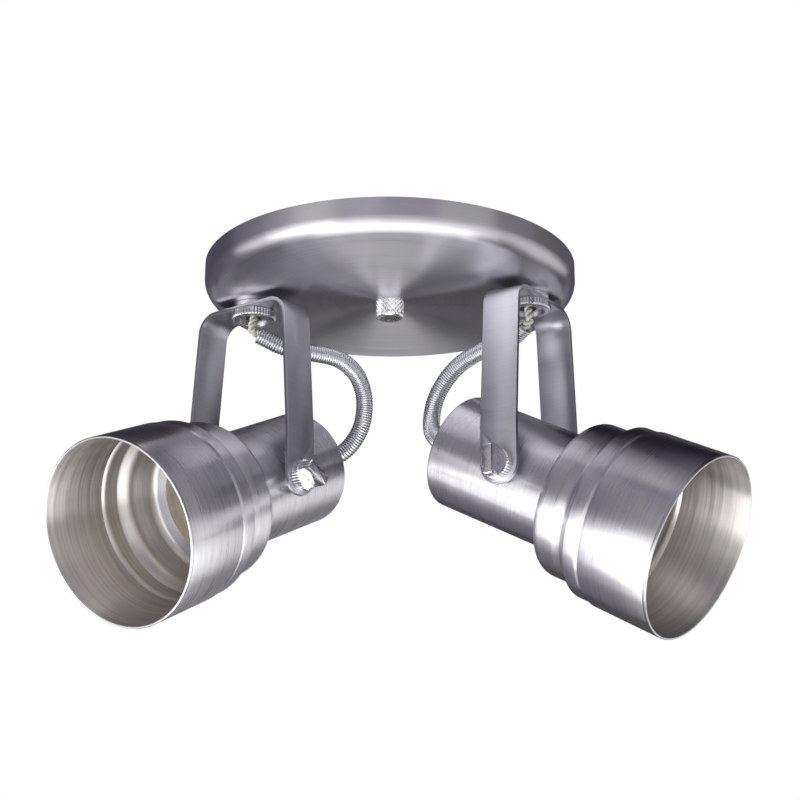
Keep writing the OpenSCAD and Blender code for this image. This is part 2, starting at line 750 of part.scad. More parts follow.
// Lampholder: porcelain body, threaded shell and sprung contact
module lampholder() {
    r = holder_d / 2;
    back = -holder_back;
    middle = holder_front - holder_l * holder_rear_share;
    floor_s = holder_front - socket_depth;
    edge = collar_edge;
    color([0.93, 0.92, 0.89]) difference() {
        along_head() turned([
            [0, back], [holder_rear_d / 2, back], [holder_rear_d / 2, middle], [r - edge, middle],
            [r, middle + edge], [r, holder_front - edge], [r - edge, holder_front],
            [socket_mouth_d / 2, holder_front], [socket_mouth_d / 2, holder_front - socket_mouth_l],
            [shell_out_r, holder_front - socket_mouth_l],
            [shell_out_r, floor_s], [0, floor_s]
        ]);
        translate([back - over, 0, 0]) along_head() {
            cylinder(h = lead_hole_l + over, d = lead_hole_d);
            for (side = [-1, 1]) translate([0, side * holder_screw_y, 0])
                cylinder(h = holder_screw_l + over, r = holder_screw_d / 2 + fit_gap);
        }
    }
}
module screw_shell() {
    floor_s = holder_front - socket_depth;
    steps = shell_turns * wave_steps;
    wave = [for (i = [0:steps]) [
        shell_d / 2 - shell_wave * (1 - cos(360 * i / wave_steps)),
        floor_s + shell_t + shell_pitch * i / wave_steps
    ]];
    color([0.82, 0.7, 0.4]) along_head() turned(concat(
        [[shell_base_r, floor_s]], [[shell_d / 2 + shell_t, floor_s]],
        [for (q = wave) q + [shell_t, 0]], reversed(wave), [[shell_base_r, floor_s + shell_t]]
    ));
}
module centre_contact() {
    floor_s = holder_front - socket_depth;
    color([0.82, 0.7, 0.4]) translate([floor_s, 0, 0]) rotate([90, 0, 0])
        linear_extrude(contact_w, center = true) polygon([
            [0, -contact_l / 2], [0, 0], [contact_rise, contact_l / 2],
            [contact_rise + contact_t, contact_l / 2], [contact_t, 0], [contact_t, -contact_l / 2]
        ]);
}
module holder_screws() {
    color([0.75, 0.75, 0.76]) for (side = [-1, 1])
        translate([bracket_s - holder_head_h, side * holder_screw_y, 0]) along_head() {
            cylinder(h = holder_head_h, d = holder_head_d);
            cylinder(h = holder_head_h + bracket_t + holder_screw_l - hole_gap, d = holder_screw_d);
        }
}
module head_lead() {
    color([0.88, 0.86, 0.74])
        tube([[conduit_s, 0, 0], [lead_hole_l - holder_back - hole_gap, 0, 0]], lead_d);
}

// Thumb screw: knurled collar with a flat key, on a plain shank
module thumb_screw(side, key_rise) {
    l = collar_t + key_l;
    e = collar_edge;
    r = collar_d / 2;
    color([0.85, 0.85, 0.86]) along_pivot(side) translate([0, 0, yoke_pivot_w / 2]) {
        rotate([0, 0, -side * key_rise]) difference() {
            knurled(
                [[0, 0], [r - e, 0], [r, e], [r, l - e], [r - e, l], [0, l]],
                collar_d, l, collar_knurls, collar_knurl_depth
            );
            for (face = [-1, 1]) translate([-r - over, face > 0 ? key_t / 2 : -r - over, collar_t])
                cube([2 * (r + over), r + over - key_t / 2, key_l + over]);
        }
        translate([0, 0, -screw_in]) cylinder(h = screw_in + fit_gap, d = screw_d);
    }
}

echo(left_conduit_least_gap = least_gap(along(full_route(left_route, left_tilt), gap_steps), conduit_d));
echo(right_conduit_least_gap = least_gap(along(full_route(right_route, right_tilt), gap_steps), conduit_d));
echo(left_conduit_length = last(chords(along(full_route(left_route, left_tilt), gap_steps))));
echo(right_conduit_length = last(chords(along(full_route(right_route, right_tilt), gap_steps))));

canopy();
mounting_bar();
centre_stud();
stud_nut();
centre_cap_nut();
terminal_block();
terminal_inserts();
terminal_screws();
block_screw();
earth_screw();
canopy_lead(-1, 0);  // left_canopy_lead
canopy_lead(1, 1);  // right_canopy_lead
at_left() nipple();  // left_nipple
at_left() lock_nut();  // left_lock_nut
at_left() tooth_washer();  // left_tooth_washer
at_left() spacer();  // left_spacer
at_left() ring_nut();  // left_ring_nut
at_right() nipple();  // right_nipple
at_right() lock_nut();  // right_lock_nut
at_right() tooth_washer();  // right_tooth_washer
at_right() spacer();  // right_spacer
at_right() ring_nut();  // right_ring_nut
at_left() yoke();  // left_yoke
at_left() conduit(left_route, left_tilt);  // left_conduit
at_left() conduit_lead(left_route, left_tilt);  // left_conduit_lead
at_right() yoke();  // right_yoke
at_right() conduit(right_route, right_tilt);  // right_conduit
at_right() conduit_lead(right_route, right_tilt);  // right_conduit_lead
at_left() in_head(left_tilt) neck();  // left_neck
at_left() in_head(left_tilt) shade();  // left_shade
at_left() in_head(left_tilt) rear_bush();  // left_rear_bush
at_left() in_head(left_tilt) holder_bracket();  // left_holder_bracket
at_left() in_head(left_tilt) pivot_bushes();  // left_pivot_bushes
at_left() in_head(left_tilt) lampholder();  // left_lampholder
at_left() in_head(left_tilt) screw_shell();  // left_screw_shell
at_left() in_head(left_tilt) centre_contact();  // left_centre_contact
at_left() in_head(left_tilt) holder_screws();  // left_holder_screws
at_left() in_head(left_tilt) head_lead();  // left_head_lead
at_left() in_head(0) thumb_screw(1, left_inner_key);  // left_inner_thumb_screw
at_left() in_head(0) thumb_screw(-1, left_outer_key);  // left_outer_thumb_screw
at_right() in_head(right_tilt) neck();  // right_neck
at_right() in_head(right_tilt) shade();  // right_shade
at_right() in_head(right_tilt) rear_bush();  // right_rear_bush
at_right() in_head(right_tilt) holder_bracket();  // right_holder_bracket
at_right() in_head(right_tilt) pivot_bushes();  // right_pivot_bushes
at_right() in_head(right_tilt) lampholder();  // right_lampholder
at_right() in_head(right_tilt) screw_shell();  // right_screw_shell
at_right() in_head(right_tilt) centre_contact();  // right_centre_contact
at_right() in_head(right_tilt) holder_screws();  // right_holder_screws
at_right() in_head(right_tilt) head_lead();  // right_head_lead
at_right() in_head(0) thumb_screw(-1, right_inner_key);  // right_inner_thumb_screw
at_right() in_head(0) thumb_screw(1, right_outer_key);  // right_outer_thumb_screw
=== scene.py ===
# %% [markdown]
# # Two-head ceiling spotlight in brushed steel
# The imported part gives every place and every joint. This lesson dresses it: thin turned sheet,
# bent strip, close-wound hose and small knurled parts, each with the finish of the real one.
# Places are in metres. Outlines that are turned or bent are drawn in millimetres.

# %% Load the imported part
import math

import bmesh
import bpy
import numpy as np
from mathutils import Matrix, Vector


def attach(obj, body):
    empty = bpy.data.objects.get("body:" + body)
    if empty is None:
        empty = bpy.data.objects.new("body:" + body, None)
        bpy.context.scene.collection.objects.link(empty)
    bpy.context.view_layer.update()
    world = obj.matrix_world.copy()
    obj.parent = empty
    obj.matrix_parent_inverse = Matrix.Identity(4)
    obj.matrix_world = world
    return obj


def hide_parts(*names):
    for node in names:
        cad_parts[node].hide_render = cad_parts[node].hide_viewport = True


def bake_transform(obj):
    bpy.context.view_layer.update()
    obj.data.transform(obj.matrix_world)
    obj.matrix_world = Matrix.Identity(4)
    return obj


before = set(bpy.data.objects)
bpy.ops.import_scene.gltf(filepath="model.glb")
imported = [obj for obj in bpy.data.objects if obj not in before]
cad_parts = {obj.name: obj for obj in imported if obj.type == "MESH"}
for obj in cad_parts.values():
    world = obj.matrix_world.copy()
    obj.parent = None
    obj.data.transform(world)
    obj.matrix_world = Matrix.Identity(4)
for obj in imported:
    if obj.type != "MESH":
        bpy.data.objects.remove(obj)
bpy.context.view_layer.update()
mm = 0.001

# %% [markdown]
# The camera comes first. It looks up at the light from a little below, through a short telephoto
# lens, so that the canopy is seen from underneath. Its place was found by laying the model's edges
# over the picture. Its turn, rise and roll are in radians.

# %% Camera
view_place = Vector((75.427, -635.695, -254.378)) * mm
view_turn, view_rise, view_roll = -0.1114, 0.3025, 0.0041
ahead = Vector((math.sin(view_turn) * math.cos(view_rise), math.cos(view_turn) * math.cos(view_rise),
                math.sin(view_rise)))
level = Vector((math.cos(view_turn), -math.sin(view_turn), 0))
upward = level.cross(ahead)
right_hand = math.cos(view_roll) * level + math.sin(view_roll) * upward
top_hand = math.cos(view_roll) * upward - math.sin(view_roll) * level
camera_data = bpy.data.cameras.new("photo_camera")
camera_data.lens = 75.6445
camera_data.sensor_width = 36
camera_data.clip_start = 0.01
camera = bpy.data.objects.new("photo_camera", camera_data)
bpy.context.scene.collection.objects.link(camera)
camera.matrix_world = Matrix.Translation(view_place) @ Matrix(
    (right_hand, top_hand, -ahead)).transposed().to_4x4()
bpy.context.scene.camera = camera
print("camera at", [round(x, 4) for x in camera.matrix_world.translation])

# %% [markdown]
# Each yoke stands in a frame of its own, whose z axis is the nipple and whose x axis is the way
# the head points. The head's frame lies at the pivot and is tilted down. Pieces are modelled
# about their own axis and then put into one of these frames. Below the canopy's face come the
# spacer, the yoke's strip and the ring nut, each starting where the last one ends.

# %% Frames of the two hangers
SIDES = ("left", "right")
heading = {"left": -120.7, "right": -25.4}
tilt = {"left": 24.6, "right": 27.2}
hanger_x = {"left": -56 * mm, "right": 56 * mm}
canopy_h, spacer_h, strip_t, nut_h = 12.5, 1.7, 1.5, 3.5
face_z = -canopy_h * mm
web_z = face_z - spacer_h * mm
web_low_z = web_z - strip_t * mm
nut_low_z = web_low_z - nut_h * mm
pivot_z = -88.7 * mm
mouth_s = 76.5


def turn(degrees, axis):
    return Matrix.Rotation(math.radians(degrees), 4, axis)


def yoke_place(side):
    return Matrix.Translation((hanger_x[side], 0, 0)) @ turn(heading[side], "Z")


def head_place(side):
    return yoke_place(side) @ Matrix.Translation((0, 0, pivot_z)) @ turn(tilt[side], "Y")


def turned_place(side):
    return head_place(side) @ turn(90, "Y")


for side in SIDES:
    mouth = head_place(side) @ Vector((mouth_s * mm, 0, 0))
    print(side, "mouth centre", [round(x, 4) for x in mouth])

# %% [markdown]
# A flexible steel hose carries the lead from the ring nut to the back of each head. It is a wire
# wound so closely that each turn touches the next. Its route is a smooth line through a few given
# points, the same ones as in the part's source.

# %% Routes of the hoses
hose_points = {
    "left": [(-1, 1, -9), (-7, 6, -12.5), (-19, 14, -14.5), (-31, 18, -14.5), (-41, 18.5, -16.5),
             (-48, 18, -21), (-51.5, 17.5, -30), (-50.5, 15.5, -41.5), (-46, 9.5, -51)],
    "right": [(-1, 0, -9), (-7.5, 2, -12), (-17.5, 4.5, -13), (-27, 7, -14), (-37, 9, -17),
              (-44, 10, -22), (-49, 10, -29.5), (-50.5, 9, -38), (-47.5, 5.5, -46.5)]}
hose_d = 7.2 * mm
hose_end = -33.1 * mm
neck_back = 34.7
route_points = 161


def head_point(side, s):
    """The place on a head's axis at s from its pivot, in the yoke's frame."""
    a = math.radians(tilt[side])
    return Vector((s * math.cos(a), 0, pivot_z - s * math.sin(a)))


def smooth_route(points, count):
    """Places on one smooth curve through the points. The first and last stretch set off straight."""
    runs = [(b - a) for a, b in zip(points, points[1:])]
    ways = [runs[0].normalized(), runs[0].normalized()]
    ways += [(points[i + 1] - points[i - 1]).normalized() for i in range(2, len(points) - 2)]
    ways += [runs[-1].normalized(), runs[-1].normalized()]
    starts = np.concatenate([[0], np.cumsum([r.length for r in runs])]).tolist()
    route = []
    for d in np.linspace(0, starts[-1], count).tolist():
        i = max(k for k in range(len(runs)) if starts[k] <= d)
        h, t = runs[i].length, (d - starts[i]) / runs[i].length
        route.append((2 * t**3 - 3 * t**2 + 1) * points[i] + (t**3 - 2 * t**2 + t) * h * ways[i]
                     + (3 * t**2 - 2 * t**3) * points[i + 1] + (t**3 - t**2) * h * ways[i + 1])
    return route


def route_length(route):
    return sum((b - a).length for a, b in zip(route, route[1:]))


hose_route = {}
for side in SIDES:
    steps = [Vector(p) * mm + Vector((0, 0, web_low_z)) for p in hose_points[side]]
    steps += [head_point(side, -neck_back * mm - hose_d), head_point(side, hose_end)]
    hose_route[side] = [yoke_place(side) @ p for p in smooth_route(steps, route_points)]
    print(side, "hose length", round(route_length(hose_route[side]) / mm, 1), "mm")

# %% [markdown]
# A wire's round section is swept by the Screw modifier into a straight coil, and the Curve
# modifier bends that coil along the route. This keeps every turn the same thickness, which a
# displaced tube wouldn't. An operator changes all that is selected, so a small helper first
# selects the right pieces and nothing else. Each modifier is applied as soon as it is set.

# %% Pick pieces, finish modifiers and draw a route
def pick(*pieces):
    """Selects these pieces alone. The last of them is the active one."""
    bpy.ops.object.select_all(action="DESELECT")
    for piece in pieces:
        piece.select_set(True)
        bpy.context.view_layer.objects.active = piece


def finish_modifier(piece, kind, **values):
    modifier = piece.modifiers.new(kind.title(), kind)
    for name, value in values.items():
        setattr(modifier, name, value)
    pick(piece)
    bpy.ops.object.modifier_apply(modifier=modifier.name)


def route_curve(name, route):
    data = bpy.data.curves.new(name, "CURVE")
    data.dimensions = "3D"
    data.use_stretch = True
    data.use_deform_bounds = True
    line = data.splines.new("POLY")
    line.points.add(len(route) - 1)
    for point, place in zip(line.points, route):
        point.co = (*place, 1)
    curve = bpy.data.objects.new(name, data)
    bpy.context.scene.collection.objects.link(curve)
    return curve

# %% [markdown]
# A strand starts as a ring of points standing beside the axis, and two strands stand on opposite
# sides. The open ends of the swept wire are filled, so that it is a closed solid before it bends.

# %% Wind a straight coil and bend it
def wound_tube(name, route, tube_d, wire_r, pitch, strands, steps, sides):
    """Strands of round wire, wound to a tube of this diameter, one turn for each pitch of route."""
    pick()
    wires = []
    for k in range(strands):
        where = turn(360 * k / strands, "Z") @ Vector((tube_d / 2 - wire_r, 0, 0))
        bpy.ops.mesh.primitive_circle_add(vertices=sides, radius=wire_r, location=where,
                                          rotation=(math.pi / 2, 0, 2 * math.pi * k / strands))
        wires.append(bpy.context.object)
    wire = wires[0]
    wire.name = wire.data.name = name
    pick(*reversed(wires))
    if strands > 1:
        bpy.ops.object.join()
    bpy.ops.object.transform_apply(location=True, rotation=True, scale=True)
    length = route_length(route)
    turns = round(length / pitch)
    finish_modifier(wire, "SCREW", axis="Z", angle=2 * math.pi, screw_offset=length / turns,
                    iterations=turns, steps=steps, render_steps=steps, use_merge_vertices=False)
    bpy.ops.object.mode_set(mode="EDIT")
    bpy.ops.mesh.select_all(action="SELECT")
    bpy.ops.mesh.fill_holes(sides=0)
    bpy.ops.mesh.select_all(action="SELECT")
    bpy.ops.mesh.normals_make_consistent(inside=False)
    bpy.ops.object.mode_set(mode="OBJECT")
    path = route_curve(name + "_route", route)
    finish_modifier(wire, "CURVE", object=path, deform_axis="POS_Z")
    bpy.data.objects.remove(path)
    bpy.ops.object.shade_smooth()
    print(name, len(wire.data.polygons), "faces")
    return wire


hose_wire_r, hose_pitch = 0.57 * mm, 1.08 * mm
hoses = {}
for side in SIDES:
    hoses[side] = wound_tube(f"{side}_wound_hose", hose_route[side], hose_d, hose_wire_r,
                             hose_pitch, strands=1, steps=24, sides=8)

# %% [markdown]
# The lead in the hose is two thin sleeved wires twisted round each other. They show for a few
# millimetres between the ring nut and the hose's mouth. The same winding with two strands and a
# long pitch makes them.

# %% Twisted leads
lead_d, strand_r, lead_pitch = 3.4 * mm, 0.84 * mm, 5 * mm
lead_points = [(0, 0, -7.7), (0, 0, -18), (0.7, -0.4, -21.7), (0.6, -0.2, -23.7)]
lead_route = {}
leads = {}
for side in SIDES:
    top = [yoke_place(side) @ (Vector(p) * mm) for p in lead_points]
    in_nipple = [top[0].lerp(top[1], k / 8) for k in range(9)]
    lead_route[side] = in_nipple + top[2:] + hose_route[side][::4]
    leads[side] = wound_tube(f"{side}_twisted_lead", lead_route[side], lead_d, strand_r,
                             lead_pitch, strands=2, steps=20, sides=10)

# %% [markdown]
# Most of this light is turned: a flat disc pressed over a former on a lathe. Half of the outline is
# drawn as a line of points by extruding one vertex, and Spin sweeps it round. Each point of an
# outline is its radius and its height, and rounded stretches are arcs.

# %% Turn an outline round its axis
def arc(centre, r, a0, a1, n=8):
    return [(centre[0] + r * math.cos(math.radians(a0 + (a1 - a0) * i / n)),
             centre[1] + r * math.sin(math.radians(a0 + (a1 - a0) * i / n))) for i in range(n + 1)]


def cleaned(outline):
    """The outline in metres, without points that lie on the one before."""
    kept = [outline[0]]
    for point in outline[1:]:
        if math.dist(point, kept[-1]) > 0.01:
            kept.append(point)
    return [(r * mm, z * mm) for r, z in kept]


def lone_point(name, place):
    """A new piece of one vertex, left in edit mode with that vertex selected."""
    pick()
    bpy.ops.mesh.primitive_plane_add(size=mm)
    piece = bpy.context.object
    piece.name = piece.data.name = name
    bpy.ops.object.mode_set(mode="EDIT")
    bpy.ops.mesh.select_all(action="SELECT")
    bpy.ops.mesh.merge(type="CENTER")
    bpy.ops.transform.translate(value=place)
    return piece


def spun(name, outline, steps):
    line = cleaned(outline)
    piece = lone_point(name, (line[0][0], 0, line[0][1]))
    for (r0, z0), (r1, z1) in zip(line, line[1:]):
        bpy.ops.mesh.extrude_vertices_move(TRANSFORM_OT_translate={"value": (r1 - r0, 0, z1 - z0)})
    bpy.ops.mesh.select_all(action="SELECT")
    bpy.ops.mesh.spin(steps=steps, angle=2 * math.pi, center=(0, 0, 0), axis=(0, 0, 1))
    bpy.ops.mesh.select_all(action="SELECT")
    bpy.ops.mesh.remove_doubles(threshold=0.002 * mm)
    bpy.ops.mesh.normals_make_consistent(inside=False)
    bpy.ops.object.mode_set(mode="OBJECT")
    return piece

# %% [markdown]
# Brushing follows the turning. A pattern on plain coordinates would run straight through a curved
# wall, so each point of a piece stores how far it is along its outline and where it is round the
# axis, and the finish reads those marks. The inside of a cup gets a finish of its own, which in a
# neck is coloured pale as painted light.

# %% Mark the way of the brushing
def mark_brushing(piece, line, flat, round_way):
    """Stores each point's place along the outline and across it, and lays a UV map in step."""
    mesh = piece.data
    line = np.array(line)
    start, run = line[:-1], line[1:] - line[:-1]
    length = np.linalg.norm(run, axis=1)
    before = np.concatenate([[0], np.cumsum(length)[:-1]])
    share = np.clip(((flat[:, None] - start) * run).sum(2) / length**2, 0, 1)
    gap = np.linalg.norm(flat[:, None] - start - share[..., None] * run, axis=2)
    k = gap.argmin(1)
    along = before[k] + share[np.arange(len(k)), k] * length[k]
    cross = np.column_stack([along, np.cos(round_way), np.sin(round_way)])
    marks = mesh.attributes.get("brushing") or mesh.attributes.new(
        "brushing", "FLOAT_VECTOR", "POINT")
    marks.data.foreach_set("vector", cross.ravel().astype(np.float32))
    layer = mesh.uv_layers.get("UVMap") or mesh.uv_layers.new(name="UVMap")
    corner = np.empty(len(mesh.loops), np.int32)
    mesh.loops.foreach_get("vertex_index", corner)
    first = np.repeat([p.loop_start for p in mesh.polygons], [p.loop_total for p in mesh.polygons])
    u = along[corner]
    v = round_way[corner] / (2 * math.pi)
    v = v - np.round(v - v[first])
    tiles = 10
    layer.data.foreach_set("uv", np.column_stack([u * tiles, v]).ravel().astype(np.float32))


def points_of(piece):
    co = np.empty(len(piece.data.vertices) * 3)
    piece.data.vertices.foreach_get("co", co)
    return co.reshape(-1, 3)


def mark_turned(piece, outline):
    co = points_of(piece)
    flat = np.column_stack([np.hypot(co[:, 0], co[:, 1]), co[:, 2]])
    mark_brushing(piece, cleaned(outline), flat, np.arctan2(co[:, 1], co[:, 0]))


def mark_inside(piece):
    """Gives the second finish to the faces that look towards the axis, to within 60 degrees."""
    for face in piece.data.polygons:
        inward = -(face.center.x * face.normal.x + face.center.y * face.normal.y)
        face.material_index = int(inward > 0.5 * math.hypot(face.center.x, face.center.y))

# %% [markdown]
# A finished piece is moved to its place, and the move is applied to its mesh, so that its object
# stays at the origin. Holes are cut with a Boolean while the piece still lies about its own axis.

# %% Put a piece in its place and cut holes
def put(piece, place, angle=32):
    """Moves a piece to its place and shades it smooth, except across edges above this angle."""
    pick(piece)
    piece.matrix_world = place
    bpy.ops.object.transform_apply(location=True, rotation=True, scale=True)
    bpy.ops.object.shade_smooth_by_angle(angle=math.radians(angle))
    print(piece.name, len(piece.data.polygons), "faces")
    return piece


def cut_hole(piece, place, radius, depth, sides=48):
    pick()
    bpy.ops.mesh.primitive_cylinder_add(vertices=sides, radius=radius, depth=depth)
    cutter = bpy.context.object
    cutter.matrix_world = place
    bpy.ops.object.transform_apply(location=True, rotation=True, scale=True)
    finish_modifier(piece, "BOOLEAN", object=cutter, operation="DIFFERENCE", solver="EXACT")
    bpy.data.objects.remove(cutter)

# %% [markdown]
# The canopy is a shallow pan whose edge is rounded by the roller. Its outline runs down the
# outside, across the face and back up the inside, so the sheet has a real thickness. One more
# point on the face, nearer the middle than the nipple holes, keeps the faces they cut through short.

# %% Canopy
canopy_r, edge_r, sheet, ring_r, stud_hole_r = 75, 6, 1, 40, 2.85
nipple_hole_r = 5.25
edge_centre = (canopy_r - edge_r, edge_r - canopy_h)
canopy_line = ([(canopy_r, 0)] + arc(edge_centre, edge_r, 0, -90, n=16)
               + [(ring_r, -canopy_h), (stud_hole_r, -canopy_h), (stud_hole_r, sheet - canopy_h)]
               + arc(edge_centre, edge_r - sheet, -90, 0, n=16)
               + [(canopy_r - sheet, 0), (canopy_r, 0)])
canopy = spun("brushed_canopy", canopy_line, steps=192)
for side in SIDES:
    cut_hole(canopy, Matrix.Translation((hanger_x[side], 0, face_z)), nipple_hole_r * mm,
             depth=6 * mm)
mark_turned(canopy, canopy_line)
put(canopy, Matrix.Identity(4))

# %% [markdown]
# The neck is a round cup with a small corner radius at its closed back, and its mouth is turned
# out into a flange inside the shade. Two holes take the pivot bushes.

# %% Necks
neck_r, neck_edge, lead_hole_r, bush_hole_r = 22.9975, 1.6, 5.25, 4.7
flange_s, flange_w = 23, 3.4
neck_corner = (neck_r - neck_edge, neck_edge - neck_back)
neck_line = ([(lead_hole_r, -neck_back)] + arc(neck_corner, neck_edge, -90, 0)
             + [(neck_r, flange_s), (neck_r + flange_w, flange_s),
                (neck_r + flange_w, flange_s + sheet), (neck_r - sheet, flange_s + sheet)]
             + arc(neck_corner, neck_edge - sheet, 0, -90)
             + [(lead_hole_r, sheet - neck_back), (lead_hole_r, -neck_back)])
necks = {}
for side in SIDES:
    neck = spun(f"{side}_brushed_neck", neck_line, steps=160)
    cut_hole(neck, turn(90, "X"), bush_hole_r * mm, depth=60 * mm)
    mark_turned(neck, neck_line)
    mark_inside(neck)
    necks[side] = put(neck, turned_place(side))

# %% [markdown]
# The shade steps out twice on its way to the mouth. At each step the roller leaves a shallow
# groove before the next, wider part, and the rim has a fine line turned just behind it. The
# outline is the same as the part's, with more points on its curves and a rounded lip. Its inner
# wall is the outer one moved in by the thickness of the sheet.

# %% Shades
def s_bend(r0, r1, s, length, n=10):
    return [(r0 + (r1 - r0) * (1 - math.cos(math.pi * i / n)) / 2, s + length * i / n)
            for i in range(1, n + 1)]


def moved_in(outline, t):
    moved = []
    for i, (r, z) in enumerate(outline):
        a, b = outline[max(i - 1, 0)], outline[min(i + 1, len(outline) - 1)]
        run = math.dist(a, b)
        moved.append((r - t * (b[1] - a[1]) / run, z + t * (b[0] - a[0]) / run))
    return moved


rear_r, mid_r, main_r, rim_r = 30.8975, 34.2975, 34.9975, 35.6975
rear_s, rear_round, neck_fit, dip = 22, 4, 0.1, 0.5
first_s, first_half, second_s, second_half = 31.2, 4.4, 44.6, 1.4
shade_wall = ([(neck_r + neck_fit, rear_s)]
              + arc((rear_r - rear_round, rear_s + rear_round), rear_round, -90, 0, n=12)
              + [(rear_r, first_s)] + s_bend(rear_r, rear_r - dip, first_s, first_half)
              + s_bend(rear_r - dip, mid_r, first_s + first_half, first_half)
              + [(mid_r, second_s)] + s_bend(mid_r, mid_r - dip, second_s, second_half, n=6)
              + s_bend(mid_r - dip, main_r, second_s + second_half, second_half, n=6))
slope = (rim_r - main_r) / (mouth_s - second_s - 2 * second_half)
fine_line = [(1.65, 0), (1.4, 0.15), (1.15, 0)]
lip = [(0, 0.35), (0.12, 0.1), (0.4, 0), (0.75, 0.05), (0.97, 0.3)]
rim_line = ([(rim_r - back * slope - depth, mouth_s - back) for back, depth in fine_line]
            + [(rim_r - inward, mouth_s - back) for inward, back in lip])
inner_wall = moved_in(shade_wall + [(rim_r, mouth_s)], sheet)[:-1][::-1]
shade_line = shade_wall + rim_line + inner_wall + [shade_wall[0]]
shades = {}
for side in SIDES:
    shade = spun(f"{side}_brushed_shade", shade_line, steps=192)
    mark_turned(shade, shade_line)
    mark_inside(shade)
    shades[side] = put(shade, turned_place(side), angle=40)

# %% [markdown]
# The small parts are turned from bar, and their outer edges are cut back a little so that they
# aren't sharp. A knurl is pressed in by a toothed wheel. Here every second row of points is pulled
# inwards after the spin. Where the rows also alternate in height and the faces are split, the
# knurl is a diamond one.

# %% Turned bar and knurls
def bar_outline(bore, r, low, high, low_edge, high_edge):
    """A turned bar or ring with its two outer edges cut back. It is closed if it has a bore."""
    outline = [(bore, low), (r - low_edge, low), (r, low + low_edge), (r, high - high_edge),
               (r - high_edge, high), (bore, high)]
    return outline + outline[:1] if bore else outline


def knurl(piece, radius, teeth, depth, rise=None):
    """Presses in straight teeth, or with a rise between its rows a diamond knurl."""
    band = 0.45 * mm
    pick(piece)
    bpy.ops.object.mode_set(mode="EDIT")
    bpy.ops.mesh.select_all(action="DESELECT")
    shape = bmesh.from_edit_mesh(piece.data)
    for v in shape.verts:
        row = round(math.atan2(v.co.y, v.co.x) * teeth / math.pi)
        row += round(v.co.z / rise) if rise else 0
        v.select = row % 2 == 1 and math.hypot(v.co.x, v.co.y) > radius - band
    shape.select_flush(True)
    bmesh.update_edit_mesh(piece.data)
    k = 1 - depth / radius
    bpy.ops.transform.resize(value=(k, k, 1), center_override=(0, 0, 0))
    if rise:
        bpy.ops.mesh.select_all(action="SELECT")
        bpy.ops.mesh.quads_convert_to_tris(quad_method="SHORTEST_DIAGONAL")
    bpy.ops.object.mode_set(mode="OBJECT")

# %% [markdown]
# Small turned parts hold the hanger together: a smooth spacer above the yoke, a knurled ring nut
# below it with a dish for the lead, and the hollow nipple through both. They are alike on both
# sides, so one loop makes them.

# %% Spacers, ring nuts and nipples
knurl_depth, spacer_r = 0.35 * mm, 8.4
spacer_line = bar_outline(nipple_hole_r, spacer_r, 0, spacer_h, low_edge=0.15, high_edge=0.15)
nut_r, nut_round, nut_bore, nut_teeth = 9, 1.4, 5, 44
dish_r, dish_top = 6.4, 1.2
nut_line = ([(nut_bore, nut_h), (nut_bore, dish_top), (dish_r, dish_top), (dish_r, 0.15),
             (dish_r + 0.15, 0), (nut_r - nut_round, 0)]
            + arc((nut_r - nut_round, nut_round), nut_round, -78, 0, n=7)
            + [(nut_r, nut_h - 0.25), (nut_r - 0.25, nut_h), (nut_bore, nut_h)])
nipple_bore, nipple_r, nipple_low, nipple_top = 3.3, 4.95, -18, -5.3
nipple_line = [(nipple_bore, nipple_low), (nipple_r, nipple_low), (nipple_r, nipple_top - 0.4),
               (nipple_r - 0.35, nipple_top), (nipple_bore, nipple_top), (nipple_bore, nipple_low)]
small = {}
for side in SIDES:
    spacer = spun(f"{side}_turned_spacer", spacer_line, steps=64)
    mark_turned(spacer, spacer_line)
    small[side, "spacer"] = put(spacer, yoke_place(side) @ Matrix.Translation((0, 0, web_z)))
    nut = spun(f"{side}_knurled_ring_nut", nut_line, steps=2 * nut_teeth)
    mark_turned(nut, nut_line)
    knurl(nut, nut_r * mm, nut_teeth, knurl_depth)
    small[side, "ring_nut"] = put(nut, yoke_place(side) @ Matrix.Translation((0, 0, nut_low_z)),
                                  angle=28)
    nipple = spun(f"{side}_hollow_nipple", nipple_line, steps=48)
    mark_turned(nipple, nipple_line)
    small[side, "nipple"] = put(nipple, yoke_place(side))

# %% [markdown]
# A blind nut at the canopy's middle pulls the canopy up to the ceiling. Its end is rounded, and its
# side has a diamond knurl, for which the outline needs a point at each row.

# %% Centre nut
cap_r, cap_h, cap_round, cap_teeth, cap_knurl_depth, knurl_rise = 5.8, 7.8, 2, 20, 0.5, 1
stud_bore, stud_top = 2.55, 2.2
cap_line = ([(0, 0)] + arc((cap_r - cap_round, cap_round), cap_round, -90, 0, n=10)
            + [(cap_r, cap_round + knurl_rise * k) for k in range(6)]
            + [(cap_r - 0.3, cap_h), (stud_bore, cap_h), (stud_bore, stud_top), (0, stud_top)])
cap_nut = spun("knurled_centre_nut", cap_line, steps=2 * cap_teeth)
mark_turned(cap_nut, cap_line)
knurl(cap_nut, cap_r * mm, cap_teeth, cap_knurl_depth * mm, knurl_rise * mm)
put(cap_nut, Matrix.Translation((0, 0, face_z - cap_h * mm)), angle=28)

# %% [markdown]
# Each yoke is one strip of steel bent to a U over the ring nut. A strip is drawn as its own width
# and extruded along the bend, wider or narrower at the round ends. Solidify gives it the sheet's
# thickness, holes are cut, and a small bevel catches the light along its edges.

# %% Yokes
strip_w, pivot_half, top_half, bend_r = 15.5, 27.0975, 23.3975, 8.5
screw_hole_r = 2.75


